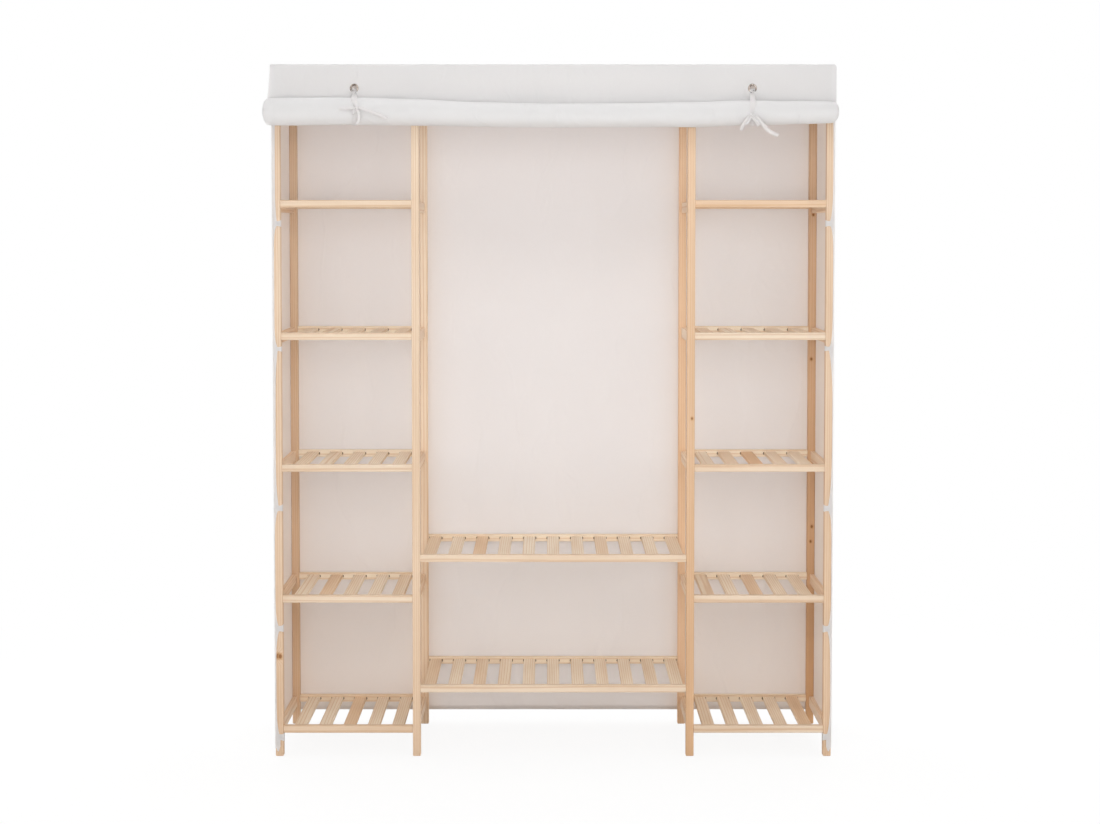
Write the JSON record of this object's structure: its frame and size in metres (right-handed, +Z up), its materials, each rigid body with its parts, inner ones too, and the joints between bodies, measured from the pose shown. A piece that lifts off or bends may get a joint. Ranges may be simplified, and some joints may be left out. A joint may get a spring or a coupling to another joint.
{
  "type": "portable fabric wardrobe",
  "caption": "Portable wardrobe: slatted pine shelf towers on either side of a hanging bay, under a cloth cover whose door rolls up and is tied below its header.",
  "frame": {"origin": "on the floor, midway across the whole width and depth, rolled door and ties included", "axes": "+X to the right seen from the open front, +Y to the back, +Z up"},
  "size_m": [1.3932, 0.4804, 1.6869],
  "materials": {
    "pine": "satin",
    "cloth": "matte",
    "steel": "satin"
  },
  "bodies": {
    "root": {"post_left_outer_front": "pine", "post_left_outer_rear": "pine", "post_left_inner_front": "pine", "post_left_inner_rear": "pine", "rung_left_outer_1": "pine", "rung_left_outer_2": "pine", "rung_left_outer_3": "pine", "rung_left_outer_4": "pine", "rung_left_outer_5": "pine", "rung_left_inner_1": "pine", "rung_left_inner_2": "pine", "rung_left_inner_3": "pine", "rung_left_inner_4": "pine", "rung_left_inner_5": "pine", "top_rung_left": "pine", "rail_carrier_left": "pine", "shelf_left_1": "pine", "shelf_left_2": "pine", "shelf_left_3": "pine", "shelf_left_4": "pine", "shelf_left_5": "pine", "top_frame_left": "pine", "post_right_outer_front": "pine", "post_right_outer_rear": "pine", "post_right_inner_front": "pine", "post_right_inner_rear": "pine", "rung_right_outer_1": "pine", "rung_right_outer_2": "pine", "rung_right_outer_3": "pine", "rung_right_outer_4": "pine", "rung_right_outer_5": "pine", "rung_right_inner_1": "pine", "rung_right_inner_2": "pine", "rung_right_inner_3": "pine", "rung_right_inner_4": "pine", "rung_right_inner_5": "pine", "top_rung_right": "pine", "rail_carrier_right": "pine", "shelf_right_1": "pine", "shelf_right_2": "pine", "shelf_right_3": "pine", "shelf_right_4": "pine", "shelf_right_5": "pine", "top_frame_right": "pine", "bay_shelf_1": "pine", "bay_shelf_2": "pine", "top_rail_front": "pine", "top_rail_rear": "pine", "hanging_rail": "pine", "cover_back": "cloth", "cover_left": "cloth", "cover_right": "cloth", "cover_top": "cloth", "door_header": "cloth", "tie_left": "cloth", "tie_right": "cloth", "eyelet_left": "steel", "eyelet_right": "steel"},
    "door_cloth": {"door_cloth": "cloth"},
    "door_roll": {"door_roll": "cloth"}
  },
  "joints": [
    {"name": "door_drop", "type": "slide", "parent": "root", "child": "door_cloth", "axis": [0, 0, -1], "range_m": [0, 1.527], "deforming": ["tie_left", "tie_right"]},
    {"name": "roll_turn", "type": "hinge", "parent": "door_cloth", "child": "door_roll", "pos_m": [0, -0.19643, 1.572], "axis": [1, 0, 0], "range_deg": [0, 3600.1]}
  ],
  "couplings": [
    {"joint": "roll_turn", "follows": "door_drop", "rad_per_m": 41.147}
  ]
}
